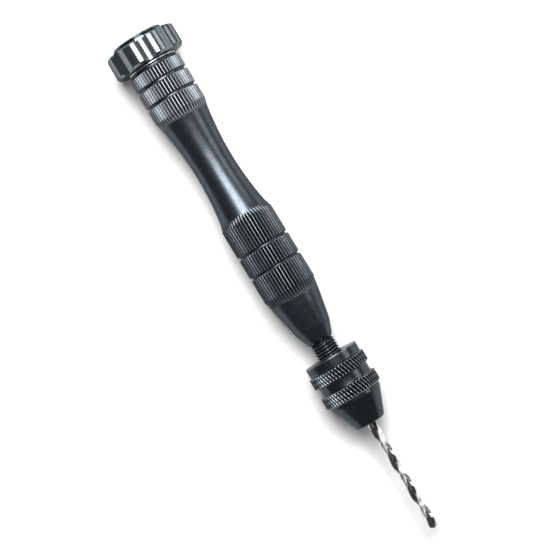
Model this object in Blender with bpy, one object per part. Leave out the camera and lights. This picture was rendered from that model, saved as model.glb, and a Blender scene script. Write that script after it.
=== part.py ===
"""Hand drill: a turned grip with a ball-bearing palm cap at one end and a keyless three-jaw chuck at the other.

The tool lies along X with the bit toward +X. Its axis is level and the lowest lobe of the scalloped cap is at z 0.
Distances along the tool are in millimetres from a plane 0.3 mm inside the outer face of the palm cap.
"""

import math

import bmesh
import bpy
from mathutils import Matrix, Vector

MM = 0.001
LENGTH = 176.2
CAP_RADIUS = 12.1

# Swivel head
DISC_RADIUS = 8.36
DISC_FLAT_RADIUS = 7.4
DISC_FRONT = -0.3
DISC_BACK = 1.1
CAP_START = 1.2
CAP_END = 8.75
CAP_LOBES = 8
CAP_SCALLOP = 0.95
CAP_CHAMFER = 0.8
CAP_RIM = 0.55
CAP_GROOVE_ANGLE = math.radians(86.0)
CAP_BORE = 6.6
BEARING_START = 2.55
BEARING_END = 7.55
BALL_COUNT = 7
BALL_RADIUS = 1.19
BALL_CIRCLE = 4.25
WASHER_START = 8.83
WASHER_END = 9.43
SCREW_RADIUS = 1.95

# Grip
KNURL_TEETH = 54
KNURL_CREST = 8.7
KNURL_ROOT = 8.15
GROOVE_RADIUS = 8.0
BAND_CHAMFER = 0.35
UPPER_BANDS = ((10.4, 14.6), (15.55, 20.4))
LOWER_BANDS = ((74.7, 81.3),)
WAIST = (
    (28.2, 8.05),
    (29.4, 7.79),
    (31.2, 7.56),
    (34.9, 7.09),
    (38.6, 6.72),
    (43.0, 6.50),
    (47.5, 6.46),
    (52.1, 6.63),
    (55.8, 6.95),
    (59.5, 7.40),
    (62.8, 8.00),
)
TAPER = (
    (91.0, 8.20),
    (96.0, 7.48),
    (103.8, 5.88),
    (107.5, 4.42),
    (108.8, 3.70),
)
STUD_RADIUS = 4.0
STUD_END = 121.5
BIT_WELL_RADIUS = 2.2
BIT_WELL_END = 112.0

# Chuck
FLANGE_START = 114.0
FLANGE_END = 116.9
FLANGE_RADIUS = 8.9
CORE_RADIUS = 7.55
NUT_GROOVE = (124.1, 128.0)
NUT_SPAN = (124.25, 127.85)
NUT_RADIUS = 7.65
CHUCK_NOSE = 137.75
CHUCK_BORE = 2.3
SLEEVE_START = 117.1
SLEEVE_END = 138.0
SLEEVE_BORE = 7.75
SLEEVE_TEETH = 36
SLEEVE_CREST = 9.55
SLEEVE_ROOT = 9.2
SLEEVE_BANDS = ((117.1, 121.0), (123.9, 128.2))
JAW_TILT = math.radians(15.0)
JAW_RADIUS = 1.3
JAW_TIP = 137.45
JAW_TIP_OFFSET = 2.2
JAW_LENGTH = 13.4
JAW_FACE = 1.57

# Bit
BIT_RADIUS = 1.5
BIT_START = 114.0
FLUTE_START = 135.0
FLUTE_LEAD = 22.6
FLUTE_ANGLE = math.radians(108.3)
WEB_RADIUS = 0.42
POINT_HALF_ANGLE = math.radians(59.0)


def clear_scene():
    for old in list(bpy.data.objects):
        bpy.data.objects.remove(old, do_unlink=True)


def material(name, colour, metallic, roughness):
    made = bpy.data.materials.new(name)
    made.use_nodes = True
    shader = made.node_tree.nodes["Principled BSDF"]
    shader.inputs["Base Color"].default_value = (*colour, 1.0)
    shader.inputs["Metallic"].default_value = metallic
    shader.inputs["Roughness"].default_value = roughness
    return made


def station(along):
    """The point of the tool axis this many millimetres along the tool. The cap's lowest lobe is at z 0."""
    height = max(-z for _, _, z in scalloped(0.0, CAP_RADIUS, CAP_GROOVE_ANGLE))
    return Vector(((along - (LENGTH + DISC_FRONT) / 2) * MM, 0.0, height * MM))


def circle(along, radius, count, low=None, shift=0):
    """One ring of points round X. With low given, every other point sits at that smaller radius."""
    ring = []
    for i in range(count):
        angle = 2 * math.pi * i / count
        reach = radius if low is None or (i + shift) % 2 == 0 else low
        ring.append((along, reach * math.cos(angle), reach * math.sin(angle)))
    return ring


def bridge(mesh, first, second):
    """Faces between two rings: equal in count, or one of them twice as fine as the other."""
    if len(first) > len(second):
        first, second = second, first
    count = len(first)
    for i in range(count):
        after = (i + 1) % count
        if len(second) == count:
            mesh.faces.new((first[i], first[after], second[after], second[i]))
            continue
        left = second[2 * i]
        middle = second[2 * i + 1]
        right = second[(2 * i + 2) % (2 * count)]
        mesh.faces.new((first[i], middle, left))
        mesh.faces.new((first[i], first[after], middle))
        mesh.faces.new((first[after], right, middle))


def finish(name, mesh, finish_material, origin, sharp=30.0):
    bmesh.ops.recalc_face_normals(mesh, faces=mesh.faces)
    data = bpy.data.meshes.new(name)
    mesh.to_mesh(data)
    mesh.free()
    data.materials.append(finish_material)
    data.shade_smooth()
    data.set_sharp_from_angle(angle=math.radians(sharp))
    made = bpy.data.objects.new(name, data)
    made.location = station(origin)
    bpy.context.scene.collection.objects.link(made)
    return made


def turned(name, rings, finish_material, origin, through=False):
    """A body of rings round the tool axis. It ends in flat caps, or joins up with itself round a through hole."""
    mesh = bmesh.new()
    rows = []
    for ring in rings:
        rows.append([mesh.verts.new(((x - origin) * MM, y * MM, z * MM)) for x, y, z in ring])
    for first, second in zip(rows, rows[1:]):
        bridge(mesh, first, second)
    if through:
        bridge(mesh, rows[-1], rows[0])
    else:
        mesh.faces.new(rows[0])
        mesh.faces.new(rows[-1])
    return finish(name, mesh, finish_material, origin)


def cut(target, cutter):
    cutter.hide_render = True
    cutter.display_type = "WIRE"
    modifier = target.modifiers.new(cutter.name, "BOOLEAN")
    modifier.operation = "DIFFERENCE"
    modifier.solver = "EXACT"
    modifier.object = cutter


def rod_cutter(name, radius, start, end, count, matrix):
    """A round cutter along its own X from start to end, placed by matrix in millimetres."""
    mesh = bmesh.new()
    rows = []
    for along in (start, end):
        rows.append([mesh.verts.new(matrix @ Vector(p) * MM) for p in circle(along, radius, count)])
    bridge(mesh, rows[0], rows[1])
    mesh.faces.new(rows[0])
    mesh.faces.new(rows[1])
    return finish(name, mesh, STEEL, 0.0)


def box_cutter(name, boxes, matrix):
    """Boxes as (low corner, high corner) pairs in millimetres, placed by matrix."""
    mesh = bmesh.new()
    for low, high in boxes:
        size = Vector(high) - Vector(low)
        middle = (Vector(high) + Vector(low)) / 2
        place = Matrix.Scale(MM, 4) @ matrix @ Matrix.Translation(middle) @ Matrix.Diagonal((*size, 1.0))
        bmesh.ops.create_cube(mesh, size=1.0, matrix=place)
    return finish(name, mesh, STEEL, 0.0)


def knurled(start, end, run_in=BAND_CHAMFER, run_out=BAND_CHAMFER):
    """The two toothed rings of one straight-knurled band."""
    count = 2 * KNURL_TEETH
    return [
        circle(start + run_in, KNURL_CREST, count, KNURL_ROOT),
        circle(end - run_out, KNURL_CREST, count, KNURL_ROOT),
    ]


def make_handle():
    bore = KNURL_TEETH // 2
    count = KNURL_TEETH
    rings = [
        circle(19.5, 2.05, bore),
        circle(7.62, 2.05, bore),
        circle(7.62, 2.95, bore),
        circle(9.5, 2.95, bore),
        circle(9.5, 7.6, count),
        circle(9.95, GROOVE_RADIUS, count),
    ]
    for start, end in UPPER_BANDS:
        rings.append(circle(start, GROOVE_RADIUS, count))
        rings += knurled(start, end)
        rings.append(circle(end, GROOVE_RADIUS, count))
    rings.append(circle(21.2, GROOVE_RADIUS, count))
    rings += knurled(21.2, 26.4, run_out=0.0)
    rings += [circle(along, radius, count) for along, radius in WAIST]
    rings += knurled(64.5, 73.96, run_in=0.0)
    rings.append(circle(73.96, GROOVE_RADIUS, count))
    for start, end in LOWER_BANDS:
        rings.append(circle(start, GROOVE_RADIUS, count))
        rings += knurled(start, end)
        rings.append(circle(end, GROOVE_RADIUS, count))
    rings.append(circle(81.95, GROOVE_RADIUS, count))
    rings += knurled(81.95, 89.8, run_out=0.0)
    rings += [circle(along, radius, count) for along, radius in TAPER]
    rings += [
        circle(109.3, STUD_RADIUS, count),
        circle(STUD_END - 0.4, STUD_RADIUS, count),
        circle(STUD_END, STUD_RADIUS - 0.4, count),
        circle(STUD_END, BIT_WELL_RADIUS, bore),
        circle(BIT_WELL_END, BIT_WELL_RADIUS, bore),
    ]
    return turned("handle_body", rings, ANODISED, 9.5)


def scalloped(along, limit, turn=0.0):
    """The cap's wavy outline, turned down where it would pass the limit radius."""
    ring = []
    for i in range(8 * CAP_LOBES):
        angle = 2 * math.pi * i / (8 * CAP_LOBES)
        wave = 0.5 + 0.5 * math.cos(CAP_LOBES * angle)
        radius = min(CAP_RADIUS - CAP_SCALLOP * wave, limit)
        ring.append((along, radius * math.cos(angle + turn), radius * math.sin(angle + turn)))
    return ring


def make_swivel_cap():
    inner = CAP_RADIUS - CAP_SCALLOP - 0.05
    rings = [
        circle(CAP_START, CAP_BORE, 32),
        scalloped(CAP_START, inner),
        scalloped(CAP_START + CAP_RIM, CAP_RADIUS),
        scalloped(CAP_END - CAP_CHAMFER, CAP_RADIUS),
        scalloped(CAP_END - CAP_CHAMFER / 2, (inner + CAP_RADIUS) / 2),
        scalloped(CAP_END, inner),
        circle(CAP_END, 3.4, 32),
        circle(7.7, 3.4, 32),
        circle(7.7, CAP_BORE, 32),
    ]
    cap = turned("swivel_cap", rings, GLOSS_BLACK, CAP_START, through=True)
    cap.rotation_euler.x = CAP_GROOVE_ANGLE
    return cap


def make_cap_disc():
    count = 40
    rings = [
        circle(DISC_FRONT, DISC_FLAT_RADIUS, count),
        circle(DISC_FRONT + 0.12, 7.9, count),
        circle(DISC_FRONT + 0.45, 8.25, count),
        circle(DISC_FRONT + 0.9, DISC_RADIUS, count),
        circle(DISC_BACK, DISC_RADIUS, count),
        circle(DISC_BACK, 6.45, count),
        circle(2.4, 6.45, count),
        circle(2.4, 3.9, count),
        circle(0.85, 3.9, count),
    ]
    return turned("cap_disc", rings, GLOSS_BLACK, DISC_FRONT)


def make_thrust_washer():
    count = 36
    rings = [
        circle(WASHER_START, 3.2, count),
        circle(WASHER_START, 7.9, count),
        circle(WASHER_END, 7.9, count),
        circle(WASHER_END, 3.2, count),
    ]
    return turned("thrust_washer", rings, STEEL, WASHER_START, through=True)


def make_pivot_screw():
    count = 24
    rings = [
        circle(1.05, 2.8, count),
        circle(1.25, 3.0, count),
        circle(2.5, 3.0, count),
        circle(2.5, SCREW_RADIUS, count),
        circle(18.1, SCREW_RADIUS, count),
        circle(18.5, SCREW_RADIUS - 0.4, count),
    ]
    screw = turned("pivot_screw", rings, STEEL, 1.05)
    socket = rod_cutter("screw_socket_cutter", 1.44, 0.5, 2.0, 6, Matrix())
    cut(screw, socket)
    return screw


def groove_points(middle, wall, side):
    """The arc of a ball track in a race wall: (along, radius) pairs across the track."""
    track = BALL_RADIUS + 0.06
    reach = abs(wall - BALL_CIRCLE)
    half = math.acos(reach / track)
    points = []
    for i in range(5):
        swing = half * (1 - i / 2)
        points.append((middle - track * math.sin(swing), BALL_CIRCLE + side * track * math.cos(swing)))
    return points


def make_races():
    count = 28
    middle = (BEARING_START + BEARING_END) / 2
    outer = [(BEARING_START, 6.5), (BEARING_START, 5.3)]
    outer += groove_points(middle, 5.3, 1)
    outer += [(BEARING_END, 5.3), (BEARING_END, 6.5)]
    inner = [(BEARING_START, 2.02), (BEARING_START, 3.2)]
    inner += groove_points(middle, 3.2, -1)
    inner += [(BEARING_END, 3.2), (BEARING_END, 2.02)]
    for name, profile in (("bearing_outer_race", outer), ("bearing_inner_race", inner)):
        rings = [circle(along, radius, count) for along, radius in profile]
        turned(name, rings, BEARING_STEEL, BEARING_START, through=True)


def ball_matrix(index):
    return Matrix.Rotation(2 * math.pi * (index + 0.5) / BALL_COUNT, 4, "X")


def make_cage():
    middle = (BEARING_START + BEARING_END) / 2
    count = 42
    rings = [
        circle(middle - 1.65, 3.75, count),
        circle(middle - 1.65, 4.75, count),
        circle(middle + 1.65, 4.75, count),
        circle(middle + 1.65, 3.75, count),
    ]
    cage = turned("ball_cage", rings, BRASS, middle, through=True)
    for index in range(BALL_COUNT):
        upright = Matrix.Translation((middle, 0.0, 0.0)) @ ball_matrix(index) @ Matrix.Rotation(math.pi / 2, 4, "Z")
        pocket = rod_cutter(f"cage_pocket_cutter_{index + 1}", BALL_RADIUS + 0.1, 3.0, 5.6, 16, upright)
        cut(cage, pocket)
    return cage


def make_balls():
    middle = (BEARING_START + BEARING_END) / 2
    for index in range(BALL_COUNT):
        mesh = bmesh.new()
        bmesh.ops.create_uvsphere(mesh, u_segments=12, v_segments=7, radius=BALL_RADIUS * MM)
        ball = finish(f"bearing_ball_{index + 1}", mesh, BEARING_STEEL, middle, sharp=60.0)
        ball.location = station(middle) + ball_matrix(index).to_3x3() @ Vector((0.0, BALL_CIRCLE * MM, 0.0))


def jaw_matrix(index):
    """The jaw's own frame: +X forward along its tilted axis, +Y outward, origin at the tip end of that axis."""
    turn = Matrix.Rotation(2 * math.pi * index / 3 + math.radians(90.0), 4, "X")
    return turn @ Matrix.Translation((JAW_TIP, JAW_TIP_OFFSET, 0.0)) @ Matrix.Rotation(-JAW_TILT, 4, "Z")


def make_chuck_body():
    count = SLEEVE_TEETH
    rings = [
        circle(FLANGE_START, 4.4, count),
        circle(FLANGE_START, FLANGE_RADIUS - 0.2, count),
        circle(FLANGE_START + 0.2, FLANGE_RADIUS, count),
        circle(FLANGE_END - 0.2, FLANGE_RADIUS, count),
        circle(FLANGE_END, FLANGE_RADIUS - 0.2, count),
        circle(FLANGE_END, CORE_RADIUS, count),
        circle(NUT_GROOVE[0], CORE_RADIUS, count),
        circle(NUT_GROOVE[0], 5.2, count),
        circle(NUT_GROOVE[1], 5.2, count),
        circle(NUT_GROOVE[1], 7.05, count),
        circle(137.35, 3.75, count),
        circle(CHUCK_NOSE, 3.55, count),
        circle(CHUCK_NOSE, CHUCK_BORE, count),
        circle(122.6, CHUCK_BORE, count),
        circle(122.0, 4.1, count),
        circle(FLANGE_START + 0.3, 4.1, count),
    ]
    body = turned("chuck_body", rings, BLACK_OXIDE, FLANGE_START, through=True)
    for index in range(3):
        bore = rod_cutter(f"jaw_bore_cutter_{index + 1}", JAW_RADIUS + 0.06, -16.2, 3.0, 20, jaw_matrix(index))
        cut(body, bore)
    return body


def make_jaws():
    for index in range(3):
        frame = jaw_matrix(index)
        turn = Matrix.Rotation(2 * math.pi * index / 3 + math.radians(90.0), 4, "X")
        mesh = bmesh.new()
        rows = []
        for along in (-JAW_LENGTH, 1.2):
            points = circle(along, JAW_RADIUS, 20)
            rows.append([mesh.verts.new((frame @ Vector(p) - Vector((JAW_TIP, 0.0, 0.0))) * MM) for p in points])
        bridge(mesh, rows[0], rows[1])
        mesh.faces.new(rows[0])
        mesh.faces.new(rows[1])
        jaw = finish(f"chuck_jaw_{index + 1}", mesh, STEEL, JAW_TIP)
        square = [
            ((JAW_TIP, -3.0, -4.0), (JAW_TIP + 6.0, 9.0, 4.0)),
        ]
        cut(jaw, box_cutter(f"jaw_tip_cutter_{index + 1}", square, turn))
        face = [
            ((JAW_TIP - 9.0, -6.0, -4.0), (JAW_TIP + 7.0, JAW_FACE, 4.0)),
        ]
        cut(jaw, box_cutter(f"jaw_face_cutter_{index + 1}", face, turn))
        flank = [((-JAW_LENGTH - 1.0, 0.88, -3.0), (-5.6, 3.0, 3.0))]
        for step in range(8):
            start = -JAW_LENGTH + 0.5 + 0.8 * step
            flank.append(((start, 0.55, -2.9), (start + 0.4, 2.9, 2.9)))
        for number, notch in enumerate(flank):
            cut(jaw, box_cutter(f"jaw_thread_cutter_{index + 1}_{number + 1}", [notch], frame))


def make_split_nut():
    """Two half rings with a coned inside that follows the jaws' outer flanks."""
    steps = 14
    slope = math.tan(JAW_TILT)
    inner = [JAW_TIP_OFFSET + (JAW_TIP - along) * slope + 1.12 for along in NUT_SPAN]
    profile = ((NUT_SPAN[0], inner[0]), (NUT_SPAN[0], NUT_RADIUS), (NUT_SPAN[1], NUT_RADIUS), (NUT_SPAN[1], inner[1]))
    gap = math.radians(1.2)
    for half in range(2):
        mesh = bmesh.new()
        rows = []
        for i in range(steps + 1):
            angle = half * math.pi + gap + (math.pi - 2 * gap) * i / steps
            row = []
            for along, radius in profile:
                point = (along - NUT_SPAN[0], radius * math.cos(angle), radius * math.sin(angle))
                row.append(mesh.verts.new(Vector(point) * MM))
            rows.append(row)
        for first, second in zip(rows, rows[1:]):
            bridge(mesh, first, second)
        mesh.faces.new(rows[0])
        mesh.faces.new(rows[-1])
        finish(f"split_nut_{half + 1}", mesh, STEEL, NUT_SPAN[0])


def diamond_band(start, end):
    """Rings of alternating high and low points: a crossed knurl of three cells along its width."""
    rings = []
    for j in range(7):
        along = start + 0.3 + (end - start - 0.6) * j / 6
        rings.append(circle(along, SLEEVE_CREST, 2 * SLEEVE_TEETH, SLEEVE_ROOT, j))
    return rings


def make_sleeve():
    count = SLEEVE_TEETH
    rear, front = SLEEVE_BANDS
    rings = [
        circle(SLEEVE_START, SLEEVE_BORE, count),
        circle(SLEEVE_START, 9.1, count),
    ]
    rings += diamond_band(*rear)
    rings += [
        circle(rear[1], 9.1, count),
        circle(rear[1] + 0.1, 8.45, count),
        circle(front[0] - 0.1, 8.45, count),
        circle(front[0], 9.1, count),
    ]
    rings += diamond_band(*front)
    rings += [
        circle(front[1], 9.0, count),
        circle(front[1] + 0.1, 8.58, count),
        circle(129.0, 8.56, count),
        circle(137.6, 4.97, count),
        circle(SLEEVE_END, 4.65, count),
        circle(SLEEVE_END, 3.95, count),
        circle(137.35, 3.95, count),
        circle(128.2, 7.25, count),
        circle(128.2, SLEEVE_BORE, count),
    ]
    return turned("chuck_sleeve", rings, BLACK_OXIDE, SLEEVE_START, through=True)


def flute_ring(along, scale, depth):
    """The bit's cross-section: two lands and two flutes, turned with the helix."""
    count = 20
    turn = 2 * math.pi * (along - FLUTE_START) / FLUTE_LEAD
    ring = []
    for i in range(count):
        angle = 2 * math.pi * i / count
        land = 0.5 + 0.5 * math.cos(2 * (angle - FLUTE_ANGLE))
        dip = max(0.0, 1.0 - land / 0.62) ** 0.7
        radius = scale * (BIT_RADIUS - depth * (BIT_RADIUS - WEB_RADIUS) * dip)
        ring.append((along, radius * math.cos(angle + turn), radius * math.sin(angle + turn)))
    return ring


def make_bit():
    point = BIT_RADIUS / math.tan(POINT_HALF_ANGLE)
    shoulder = LENGTH - point
    rings = [
        circle(BIT_START, BIT_RADIUS - 0.25, 20),
        circle(BIT_START + 0.25, BIT_RADIUS, 20),
        circle(FLUTE_START, BIT_RADIUS, 20),
    ]
    steps = 34
    for i in range(1, steps + 1):
        along = FLUTE_START + (shoulder - FLUTE_START) * i / steps
        rings.append(flute_ring(along, 1.0, min(1.0, i / 4)))
    rings.append(flute_ring(LENGTH - point * 0.06, 0.06, 0.6))
    rings.append([(LENGTH, 0.4 * y, 0.4 * z) for _, y, z in rings[-1]])
    return turned("drill_bit", rings, BRIGHT_STEEL, BIT_START)


clear_scene()
ANODISED = material("black_anodised_aluminium", (0.022, 0.026, 0.031), 0.85, 0.34)
GLOSS_BLACK = material("gloss_black_aluminium", (0.016, 0.020, 0.024), 0.85, 0.22)
BLACK_OXIDE = material("black_oxide_steel", (0.012, 0.015, 0.017), 0.75, 0.36)
BRIGHT_STEEL = material("ground_tool_steel", (0.52, 0.53, 0.53), 1.0, 0.24)
STEEL = material("machined_steel", (0.46, 0.47, 0.48), 1.0, 0.30)
BEARING_STEEL = material("bearing_steel", (0.66, 0.67, 0.68), 1.0, 0.12)
BRASS = material("pressed_brass", (0.68, 0.50, 0.22), 1.0, 0.30)

make_handle()
make_swivel_cap()
make_cap_disc()
make_thrust_washer()
make_pivot_screw()
make_races()
make_cage()
make_balls()
make_chuck_body()
make_jaws()
make_split_nut()
make_sleeve()
make_bit()
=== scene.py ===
"""Looks of the hand drill.

Distances along the tool are in millimetres toward the bit, from a plane 0.3 mm inside the outer face of the
cap's disc. Angles turn from +Y toward +Z."""

import math

import bmesh
import bpy
import numpy as np
from mathutils import Matrix, Vector


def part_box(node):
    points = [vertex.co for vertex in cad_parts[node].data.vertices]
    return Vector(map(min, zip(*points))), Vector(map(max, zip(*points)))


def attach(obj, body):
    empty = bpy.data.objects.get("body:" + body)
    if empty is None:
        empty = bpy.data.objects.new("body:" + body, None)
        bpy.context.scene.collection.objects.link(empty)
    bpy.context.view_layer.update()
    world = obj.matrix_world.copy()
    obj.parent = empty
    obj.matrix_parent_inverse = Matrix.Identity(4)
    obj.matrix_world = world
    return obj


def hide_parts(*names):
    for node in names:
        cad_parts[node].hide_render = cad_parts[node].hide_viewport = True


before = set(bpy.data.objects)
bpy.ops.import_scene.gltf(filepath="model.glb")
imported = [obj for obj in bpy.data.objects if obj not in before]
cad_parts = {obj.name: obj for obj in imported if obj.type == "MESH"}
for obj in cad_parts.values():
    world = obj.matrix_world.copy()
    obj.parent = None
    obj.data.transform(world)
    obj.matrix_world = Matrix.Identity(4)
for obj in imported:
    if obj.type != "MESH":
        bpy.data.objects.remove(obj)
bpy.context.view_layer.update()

MM = 0.001
TAU = 2 * math.pi
GRIP_LOW, GRIP_HIGH = (Vector(corner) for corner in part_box("handle_body"))
DISC_FRONT = -0.3
TOOL_START = Vector(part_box("cap_disc")[0]).x - DISC_FRONT * MM
LENGTH = (Vector(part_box("drill_bit")[1]).x - TOOL_START) / MM
AXIS_Y = (GRIP_LOW.y + GRIP_HIGH.y) / 2
AXIS_Z = (GRIP_LOW.z + GRIP_HIGH.z) / 2
ORIGIN = (TOOL_START, AXIS_Y, AXIS_Z)
SHARP = math.radians(28)  # edges that turn by more than this are shaded sharp


# ---------------------------------------------------------------- mesh tools


def to_world(points):
    """Points of the tool, in millimetres, as the scene's metres."""
    return np.asarray(points) * MM + np.array(ORIGIN)


def placed(name, data):
    """A new object in the scene that holds this data."""
    made = bpy.data.objects.new(name, data)
    bpy.context.scene.collection.objects.link(made)
    return made


def polar(along, radius, count=None, turn=0.0):
    """A ring of points (along, y, z) in millimetres, evenly spaced round the axis.

    along and radius are numbers, or one value per point."""
    radius = np.asarray(radius, float)
    count = count or len(radius)
    angle = TAU * np.arange(count) / count + turn
    row = np.empty((count, 3))
    row[:, 0] = along
    row[:, 1] = radius * np.cos(angle)
    row[:, 2] = radius * np.sin(angle)
    return row


def joined(first, second, a, b):
    """Faces between two rings of this many points, which start at vertex a and b.

    One ring may be a whole multiple finer than the other."""
    if first > second:
        return [face[::-1] for face in joined(second, first, b, a)]
    step = second // first
    faces = []
    for i in range(first):
        fine = [b + (step * i + k) % second for k in range(step + 1)]
        faces.append([a + i, *fine, a + (i + 1) % first])
    return faces


def skin(name, rows, through=False, sharp=SHARP):
    """A closed surface over rings round the tool's axis.

    It is capped at both ends, or with a hole through it the last ring joins up with the first."""
    starts = np.cumsum([0] + [len(row) for row in rows])
    faces = []
    pairs = list(zip(range(len(rows) - 1), range(1, len(rows))))
    if through:
        pairs.append((len(rows) - 1, 0))
    for first, second in pairs:
        faces += joined(len(rows[first]), len(rows[second]), int(starts[first]), int(starts[second]))
    if not through:
        faces.append(list(range(len(rows[0]))))
        faces.append([int(starts[-2]) + i for i in range(len(rows[-1]))])
    return from_faces(name, to_world(np.concatenate(rows)), faces, sharp)


def from_faces(name, points, faces, sharp=SHARP):
    """A smooth-shaded piece from its points and faces, with its normals outward."""
    data = bpy.data.meshes.new(name)
    data.from_pydata(points.tolist(), [], faces)
    mesh = bmesh.new()
    mesh.from_mesh(data)
    bmesh.ops.recalc_face_normals(mesh, faces=mesh.faces)
    mesh.to_mesh(data)
    mesh.free()
    data.shade_smooth()
    data.set_sharp_from_angle(angle=sharp)
    return placed(name, data)


def rounded(corners, steps=4):
    """The polyline (along, radius) through corners given as (along, radius, fillet).

    Each corner inside the line is rounded by its fillet, in this many steps."""
    line = []
    for i, (along, radius, fillet) in enumerate(corners):
        here = Vector((along, radius))
        if fillet <= 0 or i in (0, len(corners) - 1):
            line.append((along, radius))
            continue
        before = Vector(corners[i - 1][:2]) - here
        after = Vector(corners[i + 1][:2]) - here
        half = before.angle(after) / 2
        reach = min(fillet / math.tan(half), 0.48 * before.length, 0.48 * after.length)
        start = here + before.normalized() * reach
        end = here + after.normalized() * reach
        for k in range(steps + 1):
            t = k / steps
            point = start * (1 - t) ** 2 + here * 2 * t * (1 - t) + end * t**2
            line.append((point.x, point.y))
    return line


def curve_through(points, count):
    """A smooth (along, radius) curve through the points, evenly sampled along the tool."""
    xs = np.array([p[0] for p in points])
    ys = np.array([p[1] for p in points])
    slopes = np.gradient(ys, xs)
    found = []
    for x in np.linspace(xs[0], xs[-1], count):
        i = min(int(np.searchsorted(xs, x, side="right")) - 1, len(xs) - 2)
        h = xs[i + 1] - xs[i]
        t = (x - xs[i]) / h
        a = ys[i] * (2 * t**3 - 3 * t**2 + 1) + slopes[i] * h * (t**3 - 2 * t**2 + t)
        b = ys[i + 1] * (3 * t**2 - 2 * t**3) + slopes[i + 1] * h * (t**3 - t**2)
        found.append((float(x), float(a + b)))
    return found


def turned(name, corners, count, through=False, steps=4):
    """A plain turned piece from its corners."""
    rows = [polar(along, radius, count) for along, radius in rounded(corners, steps)]
    return skin(name, rows, through)


def cut(target, cutter):
    """Cuts the cutter's shape out of the target and removes the cutter."""
    modifier = target.modifiers.new("cut", "BOOLEAN")
    modifier.operation = "DIFFERENCE"
    modifier.solver = "EXACT"
    modifier.object = cutter
    graph = bpy.context.evaluated_depsgraph_get()
    data = bpy.data.meshes.new_from_object(target.evaluated_get(graph))
    target.modifiers.clear()
    target.data = data
    bpy.data.objects.remove(cutter, do_unlink=True)


def rod(name, radius, start, end, count, matrix):
    """A round bar along its own X, placed by a matrix in the tool's millimetres."""
    points = []
    for along in (start, end):
        points += [matrix @ Vector(p) for p in polar(along, radius, count)]
    faces = joined(count, count, 0, count)
    faces += [list(range(count)), list(range(count, 2 * count))]
    return from_faces(name, to_world([tuple(p) for p in points]), faces)


def block(name, low, high, matrix):
    """A box between two corners in millimetres, placed by a matrix in the tool's millimetres."""
    mesh = bmesh.new()
    middle = (Vector(low) + Vector(high)) / 2
    size = Vector(high) - Vector(low)
    frame_of_tool = Matrix.Translation(ORIGIN) @ Matrix.Scale(MM, 4)
    place = frame_of_tool @ matrix @ Matrix.Translation(middle) @ Matrix.Diagonal((*size, 1.0))
    bmesh.ops.create_cube(mesh, size=1.0, matrix=place)
    bmesh.ops.recalc_face_normals(mesh, faces=mesh.faces)
    data = bpy.data.meshes.new(name)
    mesh.to_mesh(data)
    mesh.free()
    return placed(name, data)


# ---------------------------------------------------------------- materials

CLOUD_SPREAD = (0.34, 0.66)  # where most of the coarse noise's values lie
FINE_SPREAD = (0.3, 0.7)  # the same for the fine noise
SHADE_VALUES = (-1.0, 0.0)  # the stored values below zero, which paint shade, from full to none
SHADE_KEPT = (0.2, 1.0)  # how much of its colour a metal keeps under that painted shade
SHADE_ROUGHNESS = (0.3, 0.0)  # and how much rougher it gets there
BUMP_HEIGHT = 0.000006
RING_HEIGHT = 0.000008
RING_SCALE = 5200.0


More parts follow.
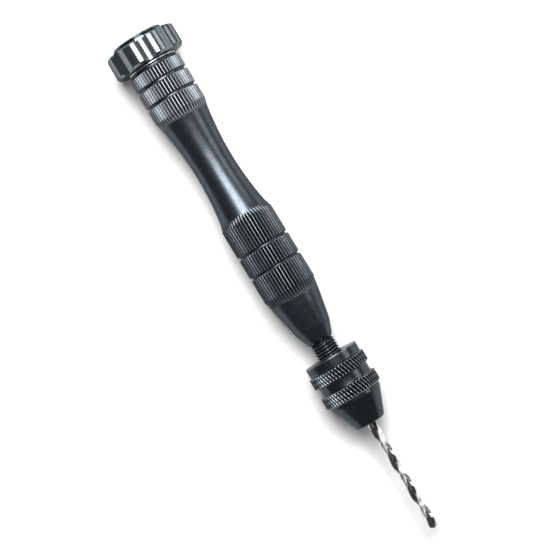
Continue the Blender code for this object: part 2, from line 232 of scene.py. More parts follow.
def metal(
    name,
    dark,
    light,
    rough,
    edge_tint=1.0,
    grain=5200.0,
    bump=0.25,
    ring=0.0,
    tint=None,
    dull=0.12,
    least=0.75,
):
    """A finished metal: a colour that wanders between dark and light, a patchy roughness and a fine bump.

    edge_tint dims its glancing reflections, and ring adds the fine rings that turning leaves round the axis.
    With a tint, the wear and shade attribute shows. Where it is positive, bare metal of that tint comes
    through in patches, each showing at least this least share of the wear, and is rougher by dull. Where it
    is
    negative, shade is painted in: the colour is darkened and the metal made rougher."""
    made = bpy.data.materials.new(name)
    made.use_nodes = True
    nodes = made.node_tree.nodes
    links = made.node_tree.links
    shader = nodes["Principled BSDF"]
    shader.inputs["Metallic"].default_value = 1.0
    shader.inputs["Specular Tint"].default_value = (edge_tint, edge_tint, edge_tint, 1.0)
    place = nodes.new("ShaderNodeTexCoord")

    def noise(scale, detail, roughness=0.55):
        found = nodes.new("ShaderNodeTexNoise")
        found.inputs["Scale"].default_value = scale
        found.inputs["Detail"].default_value = detail
        found.inputs["Roughness"].default_value = roughness
        links.new(place.outputs["Object"], found.inputs["Vector"])
        return found.outputs["Fac"]

    def mapped(value, given, taken):
        found = nodes.new("ShaderNodeMapRange")
        found.inputs["From Min"].default_value = given[0]
        found.inputs["From Max"].default_value = given[1]
        found.inputs["To Min"].default_value = taken[0]
        found.inputs["To Max"].default_value = taken[1]
        links.new(value, found.inputs["Value"])
        return found.outputs["Result"]

    cloud = noise(grain * 0.12, 4.0)
    blend = nodes.new("ShaderNodeMix")
    blend.data_type = "RGBA"
    blend.inputs["A"].default_value = (*dark, 1.0)
    blend.inputs["B"].default_value = (*light, 1.0)
    links.new(mapped(cloud, CLOUD_SPREAD, (0.0, 1.0)), blend.inputs["Factor"])
    colour = blend.outputs["Result"]
    roughness = mapped(noise(grain, 3.0), FINE_SPREAD, rough)
    if tint is not None:
        wear_and_shade_node = nodes.new("ShaderNodeAttribute")
        wear_and_shade_node.attribute_name = "wear_and_shade"
        wear_and_shade = wear_and_shade_node.outputs["Fac"]
        # Painted shade: below zero the stored value darkens the colour, in the roots of the knurls and the
        # thread.
        painted_shade = nodes.new("ShaderNodeVectorMath")
        painted_shade.operation = "SCALE"
        links.new(colour, painted_shade.inputs[0])
        links.new(mapped(wear_and_shade, SHADE_VALUES, SHADE_KEPT), painted_shade.inputs["Scale"])
        amount = nodes.new("ShaderNodeMath")
        amount.operation = "MULTIPLY"
        amount.use_clamp = True
        links.new(wear_and_shade, amount.inputs[0])
        links.new(mapped(cloud, CLOUD_SPREAD, (least, 1.0)), amount.inputs[1])
        bare = nodes.new("ShaderNodeMix")
        bare.data_type = "RGBA"
        bare.inputs["B"].default_value = (*tint, 1.0)
        links.new(amount.outputs["Value"], bare.inputs["Factor"])
        links.new(painted_shade.outputs["Vector"], bare.inputs["A"])
        colour = bare.outputs["Result"]
        duller = nodes.new("ShaderNodeMath")
        duller.operation = "MULTIPLY_ADD"
        duller.inputs[1].default_value = dull
        links.new(amount.outputs["Value"], duller.inputs[0])
        links.new(roughness, duller.inputs[2])
        soiled = nodes.new("ShaderNodeMath")
        soiled.operation = "ADD"
        links.new(duller.outputs["Value"], soiled.inputs[0])
        links.new(mapped(wear_and_shade, SHADE_VALUES, SHADE_ROUGHNESS), soiled.inputs[1])
        roughness = soiled.outputs["Value"]
    links.new(colour, shader.inputs["Base Color"])
    links.new(roughness, shader.inputs["Roughness"])
    relief = nodes.new("ShaderNodeBump")
    relief.inputs["Strength"].default_value = bump
    relief.inputs["Distance"].default_value = BUMP_HEIGHT
    links.new(noise(grain * 2.6, 4.0, 0.65), relief.inputs["Height"])
    normal = relief.outputs["Normal"]
    if ring > 0:
        apart = nodes.new("ShaderNodeSeparateXYZ")
        links.new(place.outputs["Object"], apart.inputs["Vector"])
        lines = nodes.new("ShaderNodeTexNoise")
        lines.noise_dimensions = "1D"
        lines.inputs["Scale"].default_value = RING_SCALE
        lines.inputs["Detail"].default_value = 3.0
        links.new(apart.outputs["X"], lines.inputs["W"])
        turning = nodes.new("ShaderNodeBump")
        turning.inputs["Strength"].default_value = ring
        turning.inputs["Distance"].default_value = RING_HEIGHT
        links.new(lines.outputs["Fac"], turning.inputs["Height"])
        links.new(normal, turning.inputs["Normal"])
        normal = turning.outputs["Normal"]
    links.new(normal, shader.inputs["Normal"])
    return made


def dress(piece, finish, slot, body, *nodes):
    """Gives a piece its finish, and sets its body and the CAD nodes it stands for. The slot is not used."""
    piece.data.materials.clear()
    piece.data.materials.append(finish)
    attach(piece, body)
    for node in nodes:
        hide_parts(node)


def mark_wear_and_shade(piece, values):
    """Stores how worn each point is, up to 1 for bare metal; below zero it is how much shade is painted
    there, down to -1, for the finish to read.
    """
    layer = piece.data.attributes.new("wear_and_shade", "FLOAT", "POINT")
    layer.data.foreach_set("value", np.asarray(values, np.float32))


ANODISED = metal(
    "anodised_black", (0.056, 0.066, 0.078), (0.074, 0.086, 0.099), (0.26, 0.36), edge_tint=0.42, ring=0.2,
    tint=(0.40, 0.42, 0.44), dull=0.30,
)
GLOSSY = metal(
    "anodised_gloss", (0.138, 0.164, 0.178), (0.158, 0.186, 0.202), (0.17, 0.22), edge_tint=0.30, bump=0.10,
)
OXIDE = metal(
    "black_oxide", (0.044, 0.056, 0.061), (0.060, 0.073, 0.080), (0.22, 0.29), edge_tint=0.6, ring=0.12,
    tint=(0.50, 0.52, 0.54), dull=0.20,
)
TOOL_STEEL = metal(
    "ground_steel", (0.13, 0.135, 0.14), (0.22, 0.225, 0.23), (0.16, 0.26), grain=3800.0, bump=0.3,
    tint=(0.97, 0.97, 0.96), dull=0.34, least=0.3,
)
STEEL = metal(
    "machined_steel", (0.36, 0.37, 0.38), (0.52, 0.53, 0.54), (0.24, 0.36), ring=0.3
)
BEARING = metal(
    "bearing_steel", (0.58, 0.59, 0.60), (0.68, 0.69, 0.70), (0.07, 0.13), bump=0.08
)
BRASS = metal(
    "pressed_brass", (0.58, 0.40, 0.15), (0.74, 0.55, 0.26), (0.24, 0.36), bump=0.3
)


# ---------------------------------------------------------------- grip

TEETH = 51
TOOTH = (-0.30, -0.18, -0.08, 0.0, 0.08, 0.18, 0.30, 0.50)  # places across one tooth, in teeth from its crest
# Radii: the knurl's crests, the bands as turned, the knurl's roots, and the floors of the grooves.
CREST = 8.76
BAND = 8.72
ROOT = 8.285
FLOOR = 7.92
BAND_FILLET = 0.16
REAR_GROOVES = ((14.6, 15.55), (20.4, 21.2))
FRONT_GROOVES = ((73.96, 74.7), (81.3, 81.95))
EDGES = (10.66, 14.44, 15.7, 20.24, 21.36, 73.8, 74.86, 81.14, 82.1)  # the bands' edges, which wear first
ZONES = ((10.3, 28.9), (62.3, 93.5))  # where the grip is knurled
SLOPES = ((25.9, 28.9), (62.3, 64.75), (89.9, 93.5))  # where the knurl runs out over falling metal
RUN_OUT = 2.0  # how far a knurl takes to fade out
SHALLOW = 0.3  # the least depth of the knurl over falling metal, before it fades
FINE_ZONES = ((26.0, 29.0), (61.0, 65.2), (89.8, 93.5))
FINE_STEP = 0.16
GRIP_MIDDLE = 45.0
# How bare the crests are, how much shade is painted into the roots, and how high on a tooth the bare metal
# starts.
REAR_WEAR_AND_SHADE = (1.0, 0.35, 0.78)
FRONT_WEAR_AND_SHADE = (0.36, 1.1, 0.88)
EDGE_WEAR = 0.5
PLAIN_COUNT = 68  # points round the stud and the screw's hole; the knurl has a whole multiple of them
HOLE_RADIUS = 2.05
SEAT_RADIUS = 2.95
WAIST = (
    (26.6, 8.50),
    (27.5, 8.25),
    (28.5, 7.98),
    (30.2, 7.69),
    (33.1, 7.29),
    (36.8, 6.88),
    (40.4, 6.60),
    (44.5, 6.47),
    (48.5, 6.50),
    (52.1, 6.67),
    (55.8, 6.97),
    (59.5, 7.43),
    (61.4, 7.72),
    (62.7, 7.98),
)


def groove(start, end):
    """The corners of a groove between two knurled bands."""
    return [
        (start - 0.28, BAND, BAND_FILLET),
        (start, 8.42, 0.06),
        (start + 0.1, FLOOR, 0.24),
        (end - 0.1, FLOOR, 0.24),
        (end, 8.42, 0.06),
        (end + 0.28, BAND, BAND_FILLET),
    ]


def grip_line():
    """The grip's turned profile from its rear end to the nose in front of the stud."""
    rear = [
        (9.5, SEAT_RADIUS, 0),
        (9.5, 7.75, 0.1),
        (9.78, 8.07, 0.12),
        (10.12, 8.07, 0.08),
        (10.24, 7.92, 0.03),
        (10.38, 7.92, 0.03),
        (10.55, 8.5, 0.05),
        (10.8, BAND, BAND_FILLET),
    ]
    for start, end in REAR_GROOVES:
        rear += groove(start, end)
    rear += [(25.9, BAND, 0.6), (26.6, 8.50, 0)]
    front = [(62.7, 7.98, 0), (64.35, 8.47, 0.3), (64.75, BAND, BAND_FILLET)]
    for start, end in FRONT_GROOVES:
        front += groove(start, end)
    front += [
        (89.9, BAND, 0.15),
        (90.6, 8.48, 0.5),
        (96.2, 7.50, 2.0),
        (103.8, 5.88, 0.35),
        (107.5, 4.44, 0.5),
        (108.55, 3.90, 0.15),
        (108.8, 3.45, 0.05),
    ]
    return rounded(rear) + curve_through(WAIST, 74)[1:-1] + rounded(front)


def refined(line, zones, step):
    """The line with points at most a step apart in these zones, so that a knurl comes out clean there."""
    found = [line[0]]
    for (x0, r0), (x1, r1) in zip(line, line[1:]):
        gap = x1 - x0
        if any(low < (x0 + x1) / 2 < high for low, high in zones) and gap > step:
            count = int(math.ceil(gap / step))
            for k in range(1, count):
                found.append((x0 + gap * k / count, r0 + (r1 - r0) * k / count))
        found.append((x1, r1))
    return found


def knurl_cut(along, radius):
    """How deep the straight knurl's root lies under the turned surface at one station.

    It runs out toward its zone's ends, except at the grip's rear end, where it starts full."""
    for low, high in ZONES:
        if low <= along <= high:
            inside = min(along - low + (RUN_OUT if low < GRIP_MIDDLE else 0.0), high - along)
            fade = min(1.0, inside / RUN_OUT)
            on_slope = any(start < along < end for start, end in SLOPES)
            full = max(radius - ROOT, SHALLOW if on_slope else 0.0)
            return full * fade * fade * (3 - 2 * fade)
    return 0.0


def edge_wear(along, edges, reach=0.16):
    """How worn the metal is this near a turned edge, from 0 to 1 at the edge itself."""
    return max(0.0, *(1 - abs(along - edge) / reach for edge in edges))


def make_grip():
    """The grip in one piece: the screw's hole at its rear, the knurled bands, the waist and the stud."""
    places = np.array([number + place for number in range(TEETH) for place in TOOTH]) / TEETH
    angle = TAU * places
    tooth = 0.5 + 0.5 * np.cos(TAU * TEETH * places)
    hole = ((19.5, HOLE_RADIUS), (7.62, HOLE_RADIUS), (7.62, SEAT_RADIUS), (9.5, SEAT_RADIUS))
    rows = [polar(along, radius, PLAIN_COUNT) for along, radius in hole]
    wear_and_shade = [0.0] * (PLAIN_COUNT * len(hole))
    for along, radius in refined(grip_line(), FINE_ZONES, FINE_STEP)[1:]:
        depth = knurl_cut(along, radius)
        reach = np.minimum(radius, radius - depth + (depth + CREST - BAND) * tooth)
        row = np.empty((len(reach), 3))
        row[:, 0] = along
        row[:, 1] = reach * np.cos(angle)
        row[:, 2] = reach * np.sin(angle)
        rows.append(row)
        use, root_shade_share, start = REAR_WEAR_AND_SHADE if along < GRIP_MIDDLE else FRONT_WEAR_AND_SHADE
        bare = use * np.clip((tooth - start) / 0.08, 0, 1) * min(1.0, depth / 0.2)
        bare = bare + EDGE_WEAR * edge_wear(along, EDGES)
        # Painted shade: the roots are darkened by how deep they lie under the turned surface.
        root_shade = root_shade_share * np.clip((radius - reach - 0.06) / 0.24, 0, 1)
        wear_and_shade += list(np.clip(bare - root_shade, -1, 1))
    stud = stud_rows()
    # The thread's crests show bare metal, and painted shade darkens its roots.
    for row in stud:
        wear_and_shade += list(np.clip((np.hypot(row[:, 1], row[:, 2]) - 3.8) / 0.35, -0.8, 0.4))
    grip = skin("grip", rows + stud, sharp=math.radians(32))
    mark_wear_and_shade(grip, wear_and_shade)
    return grip


THREAD_START = 108.9
THREAD_ROOT = 3.42
THREAD_HEIGHT = 0.56
STUD_END = 121.5
BLIND_HOLE = 2.2


def stud_rows():
    """The M8 x 1 thread on the grip's front end, and the blind hole in it for the bit's shank."""
    phase = np.arange(PLAIN_COUNT) / PLAIN_COUNT
    rows = []
    for along in np.arange(108.85, 121.15, 0.0625):
        fade = min(1.0, max(0.0, (along - THREAD_START) / 0.7), max(0.0, (STUD_END - along) / 0.6))
        u = (along - phase) % 1.0
        ridge = np.clip((1 - np.abs(2 * u - 1)) * 1.25 - 0.12, 0, 1)
        rows.append(polar(along, THREAD_ROOT + THREAD_HEIGHT * ridge * fade, PLAIN_COUNT))
    ends = ((STUD_END, 3.35), (STUD_END, BLIND_HOLE), (112.0, BLIND_HOLE))
    return rows + [polar(along, radius, PLAIN_COUNT) for along, radius in ends]


# ---------------------------------------------------------------- swivel head

LOBES = 8
CAP_TURN = math.radians(86.2)
CAP_RADIUS = 11.98
CAP_SCALLOP = 1.08
CAP_WAVE = 1.5  # above 1, so the grooves are narrower than the lobes
CAP_COUNT = 24 * LOBES


def scallop(limit):
    """The cap's outline: eight rounded lobes, turned down where they pass the limit radius."""
    angle = TAU * np.arange(CAP_COUNT) / CAP_COUNT
    wave = (0.5 + 0.5 * np.cos(LOBES * angle)) ** CAP_WAVE
    return np.minimum(CAP_RADIUS - CAP_SCALLOP * wave, limit)


def make_cap():
    """The scalloped ring, with bevelled rims, the bearing's recess and the clearance hole behind it."""
    rows = [polar(1.2, radius, CAP_COUNT, CAP_TURN) for radius in (6.6, 10.6)]
    outside = rounded([(1.2, 10.6, 0), (1.2, 11.0, 0.1), (1.78, 12.1, 0)], 5)[1:]
    outside += [(along, 99.0) for along in np.linspace(2.1, 7.8, 9)]
    outside += rounded([(7.95, 12.12, 0), (8.72, 11.16, 0.14), (8.75, 11.0, 0.05), (8.75, 10.2, 0)], 5)
    rows += [polar(along, scallop(limit), CAP_COUNT, CAP_TURN) for along, limit in outside]
    inside = [(8.75, 9.6), (8.75, 3.5), (8.65, 3.4), (7.7, 3.4), (7.7, 6.6)]
    rows += [polar(along, radius, CAP_COUNT, CAP_TURN) for along, radius in inside]
    return skin("palm_cap_ring", rows, through=True, sharp=math.radians(24))


def make_disc():
    """The plug that closes the bearing's recess, hollow behind to clear the screw's head."""
    corners = [
        (DISC_FRONT, 0.5, 0),
        (DISC_FRONT, 7.98, 0.1),
        (0.04, 8.36, 0.1),
        (0.8, 8.12, 0.08),
        (0.9, 8.05, 0.05),
        (1.1, 8.05, 0.05),
        (1.1, 6.45, 0.05),
        (2.4, 6.45, 0.08),
        (2.4, 3.9, 0.05),
        (0.85, 3.9, 0),
    ]
    return turned("palm_disc", corners, 144, steps=6)


def make_washer():
    """The bright ring between the cap and the grip."""
    corners = [(8.83, 3.2, 0), (8.83, 7.93, 0.12), (9.43, 7.93, 0.12), (9.43, 3.2, 0)]
    return turned("thrust_ring", corners, 128, through=True)


SCREW_COUNT = 48
SCREW_PITCH = 0.7
SCREW_END = 18.3


def make_screw():
    """The M4 screw that clamps the bearing, with a hexagonal socket in its head."""
    corners = [
        (1.05, 0.4, 0),
        (1.05, 2.8, 0.1),
        (1.25, 3.0, 0.1),
        (2.5, 3.0, 0.05),
        (2.5, 1.9, 0.05),
        (3.2, 1.9, 0),
    ]
    rows = [polar(along, radius, SCREW_COUNT) for along, radius in rounded(corners)]
    phase = np.arange(SCREW_COUNT) / SCREW_COUNT
    for along in np.arange(7.7, 18.1, 0.07):
        u = (along / SCREW_PITCH - phase) % 1.0
        fade = min(1.0, (along - 7.6) / 0.6, (SCREW_END - along) / 0.5)
        rows.append(polar(along, 1.62 + 0.31 * fade * (1 - np.abs(2 * u - 1)), SCREW_COUNT))
    rows += [polar(SCREW_END, 1.58, SCREW_COUNT), polar(18.5, 1.35, SCREW_COUNT)]
    screw = skin("pivot_bolt", rows)
    cut(screw, rod("socket", 1.44, 0.5, 2.0, 6, Matrix()))
    screw.data.set_sharp_from_angle(angle=SHARP)
    return screw


BALLS = 7
BALL_RADIUS = 1.185
BALL_PLANE = 5.05
BALL_CIRCLE = 4.25
BALL_TRACK = 1.25
RACE_COUNT = 112


def make_race(name, wall, back):
    """A bearing ring from its back to its wall, with the ball track ground into the wall."""
    side = 1 if back > wall else -1
    half = math.acos(abs(wall - BALL_CIRCLE) / BALL_TRACK)
    arc = []
    for i in range(13):
        swing = half * (1 - i / 6)
        along = BALL_PLANE - BALL_TRACK * math.sin(swing)
        arc.append((along, BALL_CIRCLE + side * BALL_TRACK * math.cos(swing), 0))
    corners = [(2.55, back, 0), (2.55, wall, 0)] + arc + [(7.55, wall, 0), (7.55, back, 0)]
    return turned(name, corners, RACE_COUNT, through=True)


def ball_turn(index):
    """The turn round the tool's axis to one ball's place."""
    return Matrix.Rotation(TAU * (index + 0.5) / BALLS, 4, "X")


def make_cage():
    """The ring that keeps the balls apart, with a round pocket for each."""
    corners = [(3.4, 3.78, 0), (3.4, 4.72, 0), (6.7, 4.72, 0), (6.7, 3.78, 0)]
    cage = turned("ball_retainer", corners, RACE_COUNT, through=True)
    outward = Matrix.Rotation(math.pi / 2, 4, "Z")
    for index in range(BALLS):
        place = Matrix.Translation((BALL_PLANE, 0, 0)) @ ball_turn(index) @ outward
        cut(cage, rod("pocket", 1.28, 3.0, 5.6, 40, place))
    cage.data.set_sharp_from_angle(angle=SHARP)
    return cage


def make_ball(index):
    """One ball, in its place round the bearing."""
    mesh = bmesh.new()
    bmesh.ops.create_icosphere(mesh, subdivisions=4, radius=BALL_RADIUS * MM)
    centre = ball_turn(index).to_3x3() @ Vector((0, BALL_CIRCLE, 0))
    shift = Vector(ORIGIN) + (centre + Vector((BALL_PLANE, 0, 0))) * MM
    bmesh.ops.translate(mesh, verts=mesh.verts, vec=shift)
    data = bpy.data.meshes.new(f"ball_{index + 1}")
    mesh.to_mesh(data)
    mesh.free()
    data.shade_smooth()
    return placed(f"ball_{index + 1}", data)


# ---------------------------------------------------------------- chuck

JAW_TILT = math.radians(15.0)
JAW_TIP = 137.45
JAW_OUT = 2.2  # how far the jaw's own axis is from the tool's at the jaw's tip
JAW_RADIUS = 1.3
BORE_RADIUS = 1.36
FLANGE = (114.0, 116.9)
FLANGE_RADIUS = 8.9
NUT = (124.25, 127.85)
NUT_RADIUS = 7.65


def jaw_turn(index):
    """The turn round the tool's axis to one jaw's place."""
    return Matrix.Rotation(TAU * index / 3 + math.pi / 2, 4, "X")


def jaw_frame(index):
    """+X forward along the jaw's tilted axis, +Y outward, origin at the tip end of that axis."""
    return jaw_turn(index) @ Matrix.Translation((JAW_TIP, JAW_OUT, 0.0)) @ Matrix.Rotation(-JAW_TILT, 4, "Z")


def make_chuck_body():
    """The rear flange and the core inside the sleeve, with the bit's hole and the jaws' tilted bores."""
    corners = [
        (114.12, 4.1, 0),
        (FLANGE[0], 4.25, 0),
        (FLANGE[0], FLANGE_RADIUS, 0.09),
        (114.5, FLANGE_RADIUS, 0),
        (116.4, FLANGE_RADIUS, 0),
        (FLANGE[1], FLANGE_RADIUS, 0.2),
        (FLANGE[1], 7.55, 0.05),
        (124.1, 7.55, 0.05),
        (124.1, 5.2, 0.05),
        (128.0, 5.2, 0.05),
        (128.0, 7.05, 0.1),
        (137.3, 3.77, 0.1),
        (137.75, 3.55, 0.1),
        (137.75, 2.3, 0.08),
        (122.6, 2.3, 0),
        (122.0, 4.1, 0),
    ]
    body = turned("chuck_core", corners, 126, through=True)
    for index in range(3):
        cut(body, rod("bore", BORE_RADIUS, -16.2, 3.0, 48, jaw_frame(index)))
    body.data.set_sharp_from_angle(angle=SHARP)
    rims = []
    for vertex in body.data.vertices:
        point = vertex.co - Vector(ORIGIN)
        on_rim = point.yz.length > 8.6 * MM
        rims.append(0.35 * edge_wear(point.x / MM, (FLANGE[0] + 0.1, FLANGE[1] - 0.1)) * on_rim)
    mark_wear_and_shade(body, rims)
    return body


def make_jaw(index):
    """A round bar, cut square at the mouth and flat along the bit, with notches outside for the nut."""
    place = jaw_frame(index)
    turn = jaw_turn(index)
    jaw = rod(f"jaw_{index + 1}_bar", JAW_RADIUS, -13.4, 1.2, 48, place)
    cut(jaw, block("tip", (JAW_TIP, -3, -4), (JAW_TIP + 6, 9, 4), turn))
    cut(jaw, block("face", (JAW_TIP - 9, -6, -4), (JAW_TIP + 7, 1.57, 4), turn))
    cut(jaw, block("flank", (-14.4, 0.88, -3), (-5.6, 3, 3), place))
    for step in range(8):
        start = -12.9 + 0.8 * step
        cut(jaw, block("notch", (start, 0.55, -2.9), (start + 0.4, 2.9, 2.9), place))
    jaw.data.shade_smooth()
    jaw.data.set_sharp_from_angle(angle=SHARP)
    return jaw


def make_nut_half(half):
    """Half of the coned nut: a flat-ended ring whose toothed inside follows the jaws' tilt."""
    slope = math.tan(JAW_TILT)
    inner = [JAW_OUT + (JAW_TIP - along) * slope + 1.12 for along in NUT]
    section = [(NUT[0], inner[0]), (NUT[0], NUT_RADIUS), (NUT[1], NUT_RADIUS), (NUT[1], inner[1])]
    for k in range(8, 0, -1):
        along = NUT[0] + 3.6 * (k - 0.5) / 8
        radius = inner[0] + (inner[1] - inner[0]) * (k - 0.5) / 8
        section.append((along + 0.1, radius + (0.18 if k % 2 else 0.0)))
    gap = math.radians(1.2)
    steps = 60
    points = []
    for i in range(steps + 1):
        angle = half * math.pi + gap + (math.pi - 2 * gap) * i / steps
        for along, radius in section:
            points.append((along, radius * math.cos(angle), radius * math.sin(angle)))
    size = len(section)
    faces = []
    for i in range(steps):
        for k in range(size):
            a = i * size + k
            b = i * size + (k + 1) % size
            faces.append([a, b, b + size, a + size])
    faces.append(list(range(size)))
    faces.append([steps * size + k for k in range(size)])
    return from_faces(f"nut_half_{half + 1}", to_world(points), faces)


RIMS = (117.25, 120.85, 124.05, 127.95)  # the knurled bands' edges, which wear first
RIM_WEAR = 0.6
BAND_MIDDLES = (119.05, 126.05)
SLEEVE_TEETH = 53
SLEEVE_COUNT = SLEEVE_TEETH * 8
SLEEVE_PLAIN = SLEEVE_TEETH * 2
SLEEVE_CREST = 9.55
SLEEVE_ROOT = 9.1
CROSS_TILT = math.tan(math.radians(20.0))


def crossed(along, middle):
    """Two families of slanting ridges that cross, round the sleeve at one station of a knurled band.

    Returns their height, 0 in the grooves and 1 on the crests, and how bare the crests are. The second
    family's grooves are shallow, so that the first family's ridges run on through them."""
    turn = np.arange(SLEEVE_COUNT) / 8
    shift = (along - middle) * CROSS_TILT / (TAU * SLEEVE_CREST) * SLEEVE_TEETH
    first = 0.5 - 0.5 * np.cos(TAU * (turn + shift))
    second = 0.5 - 0.5 * np.cos(TAU * (turn - shift))
    bare = np.clip(5 * first - 4, 0, 1) * np.clip(0.3 + 1.4 * second, 0, 1)
    return np.minimum(first, 0.76 + 0.5 * second), bare


def sleeve_line():
    """The sleeve's outline in three parts that follow on: the two knurled bands and the cone."""
    rear = [
        (117.1, 7.9, 0),
        (117.1, 8.95, 0.08),
        (117.45, SLEEVE_CREST, 0.12),
        (120.6, SLEEVE_CREST, 0.12),
        (121.0, 9.0, 0.08),
        (121.08, 8.45, 0.1),
        (122.5, 8.45, 0),
    ]
    front = [
        (122.5, 8.45, 0),
        (123.82, 8.45, 0.1),
        (123.9, 9.0, 0.08),
        (124.25, SLEEVE_CREST, 0.12),
        (127.6, SLEEVE_CREST, 0.12),
        (128.15, 8.9, 0.1),
        (128.25, 8.66, 0.06),
        (128.6, 8.65, 0),
    ]
    cone = [
        (128.6, 8.65, 0),
        (129.25, 8.62, 0.3),
        (137.72, 4.98, 0.22),
        (138.0, 4.6, 0.12),
        (138.0, 3.95, 0.06),
        (137.35, 3.95, 0),
    ]
    return rounded(rear), rounded(front)[1:], rounded(cone)[1:]


def make_sleeve():
    """The hand-turned sleeve: two diamond-knurled bands, the groove between them and the cone in front."""
    rear, front, cone = sleeve_line()
    rows = [polar(117.1, 7.75, SLEEVE_PLAIN)]
    wear_and_shade = [0.0] * SLEEVE_PLAIN
    for band, middle in zip((rear, front), BAND_MIDDLES):
        for along, radius in refined(band, ((middle - 2.1, middle + 2.1),), 0.085):
            height, bare = crossed(along, middle)
            reach = np.minimum(radius, SLEEVE_ROOT + 0.47 * height)
            # Painted shade in the grooves between the diamonds, darkest where the ridges are lowest.
            root_shade = np.clip(1.35 - 1.5 * height, 0, 1)
            rows.append(polar(along, reach, SLEEVE_COUNT))
            wear_and_shade += list(np.clip((bare - root_shade) * (radius > 9.3) + RIM_WEAR * edge_wear(along, RIMS), -1, 1))
    inside = [(128.2, 7.25), (128.2, 7.75)]
    for along, radius in cone + inside:
        rows.append(polar(along, radius, SLEEVE_PLAIN))
        wear_and_shade += [0.0] * SLEEVE_PLAIN
    sleeve = skin("knurled_sleeve", rows, through=True, sharp=math.radians(24))
    mark_wear_and_shade(sleeve, wear_and_shade)
    return sleeve


# ---------------------------------------------------------------- bit

BIT = 1.5
BIT_BACK = 114.0
BIT_COUNT = 96
MARGIN = 0.07  # how far the margin stands over the rest of the land
LEAD = 22.6  # the length of one whole turn of a flute
FLUTES = 134.0  # where the flutes start
RUN_IN = 4.0
FLUTE_PLACE = 56.0  # degrees
POINT = math.tan(math.radians(59))  # the point's full angle is 118 degrees


def flute_outline(depth):
    """The bit's radius round one station: two lands with a raised margin, and two flutes."""
    angle = (np.arange(BIT_COUNT) / BIT_COUNT * 360.0 - FLUTE_PLACE) % 180.0
    land = np.where(angle < 14, BIT, BIT - MARGIN)
    swing = np.clip((angle - 72) / 108, 0, 1)
    hollow = BIT - MARGIN - (BIT - 0.45) * np.sin(math.pi * swing) ** 0.62
    shape = np.where(angle < 72, land, hollow)
    return BIT + (shape - BIT) * depth


def make_bit():
    """The twist bit: a plain shank, most of it inside the chuck, the fluted part and the ground point."""
    shank = [(BIT_BACK, 0.3, 0), (BIT_BACK, 1.25, 0.05), (BIT_BACK + 0.25, BIT, 0.05), (FLUTES, BIT, 0)]
    rows = [polar(along, radius, BIT_COUNT) for along, radius in rounded(shank)]
    shoulder = LENGTH - BIT / POINT
    for along in np.linspace(FLUTES + 0.2, shoulder, 190):
        depth = min(1.0, (along - FLUTES - 0.2) / RUN_IN)
        rows.append(polar(along, flute_outline(depth), BIT_COUNT, TAU * (along - FLUTES) / LEAD))
    outline = flute_outline(1.0)
    turn = TAU * (shoulder - FLUTES) / LEAD
    for shrink in (0.985, 0.7, 0.4, 0.15, 0.03):
        rows.append(polar(LENGTH - shrink * outline / POINT, shrink * outline, BIT_COUNT, turn))
    bit = skin("twist_bit", rows, sharp=math.radians(32))
    wear_and_shade = []
    for row in rows:
        reach = np.hypot(row[:, 1], row[:, 2])
        wear_and_shade += list(np.clip((reach - BIT + 0.22) / 0.14, 0, 1))
    mark_wear_and_shade(bit, wear_and_shade)
    return bit


# ---------------------------------------------------------------- assembly

dress(make_grip(), ANODISED, "black_anodised_aluminium", "grip", "handle_body")
dress(make_cap(), GLOSSY, "gloss_black_aluminium", "palm_cap", "swivel_cap")
dress(make_disc(), GLOSSY, "gloss_black_aluminium", "palm_cap", "cap_disc")
dress(make_washer(), STEEL, "machined_steel", "grip", "thrust_washer")
dress(make_screw(), STEEL, "machined_steel", "grip", "pivot_screw")
dress(make_race("outer_race", 5.3, 6.5), BEARING, "bearing_steel", "palm_cap", "bearing_outer_race")
dress(make_race("inner_race", 3.2, 2.02), BEARING, "bearing_steel", "grip", "bearing_inner_race")
dress(make_cage(), BRASS, "pressed_brass", "ball_ring", "ball_cage")
for number in range(BALLS):
    dress(make_ball(number), BEARING, "bearing_steel", "ball_ring", f"bearing_ball_{number + 1}")
dress(make_chuck_body(), OXIDE, "black_oxide_steel", "grip", "chuck_body")
dress(make_sleeve(), OXIDE, "black_oxide_steel", "sleeve", "chuck_sleeve")
for number in range(2):
    dress(make_nut_half(number), STEEL, "machined_steel", "sleeve", f"split_nut_{number + 1}")
for number in range(3):
    dress(make_jaw(number), STEEL, "machined_steel", f"jaw_{number + 1}", f"chuck_jaw_{number + 1}")
dress(make_bit(), TOOL_STEEL, "ground_tool_steel", "bit", "drill_bit")


# ---------------------------------------------------------------- studio


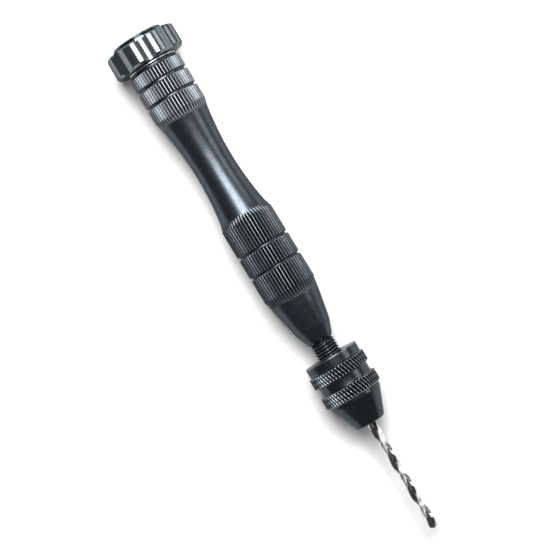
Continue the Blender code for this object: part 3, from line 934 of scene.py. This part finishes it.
def make_floor():
    """A wide pale sheet, 0.2 mm under the tool."""
    reach = 3.0
    level = -0.2 * MM
    corners = [(-reach, -reach, level), (reach, -reach, level), (reach, reach, level), (-reach, reach, level)]
    data = bpy.data.meshes.new("floor")
    data.from_pydata(corners, [], [(0, 1, 2, 3)])
    made = bpy.data.materials.new("pale_paper")
    made.use_nodes = True
    shader = made.node_tree.nodes["Principled BSDF"]
    shader.inputs["Base Color"].default_value = (0.79, 0.79, 0.79, 1.0)
    shader.inputs["Roughness"].default_value = 0.9
    shader.inputs["Specular IOR Level"].default_value = 0.1
    data.materials.append(made)
    floor = placed("floor", data)


def soft_box(name, place, size, watts, level):
    """A rectangular soft light. It either hangs level over the floor, or aims at the tool's middle."""
    data = bpy.data.lights.new(name, "AREA")
    data.shape = "RECTANGLE"
    data.size, data.size_y = size
    data.energy = watts
    made = placed(name, data)
    made.location = place
    if not level:
        toward = Vector((0, 0, AXIS_Z)) - Vector(place)
        made.rotation_euler = toward.to_track_quat("-Z", "Y").to_euler()


def make_world(strength):
    """An even white surround."""
    world = bpy.data.worlds.new("studio")
    world.use_nodes = True
    background = world.node_tree.nodes["Background"]
    background.inputs["Color"].default_value = (1.0, 1.0, 1.0, 1.0)
    background.inputs["Strength"].default_value = strength
    bpy.context.scene.world = world


def make_camera():
    """Above the tool, rolled so that the cap is at the upper left and the bit points down to the right."""
    height = 0.630
    side = AXIS_Y - 1.49 * MM
    place = Vector((TOOL_START + 75.8 * MM, side, AXIS_Z + height))
    target = Vector((TOOL_START + 84.2 * MM, side, AXIS_Z))
    back = (place - target).normalized()
    up = Vector((-0.8531, 0.5217, 0.0))
    right = up.cross(back).normalized()
    up = back.cross(right).normalized()
    data = bpy.data.cameras.new("camera")
    data.sensor_width = 36.0
    data.lens = 133.9
    data.clip_start = 0.01
    made = placed("camera", data)
    turn = Matrix((right, up, back)).transposed().to_4x4()
    made.matrix_world = Matrix.Translation(place) @ turn
    bpy.context.scene.camera = made


bpy.context.scene.view_settings.view_transform = "Standard"
make_floor()
make_world(0.2)
soft_box("key", place=(-0.495, 0.12, 0.75), size=(0.82, 0.44), watts=18.3, level=True)
soft_box("side", place=(0.0, 0.80, 0.48), size=(0.6, 0.35), watts=1.9, level=False)
make_camera()
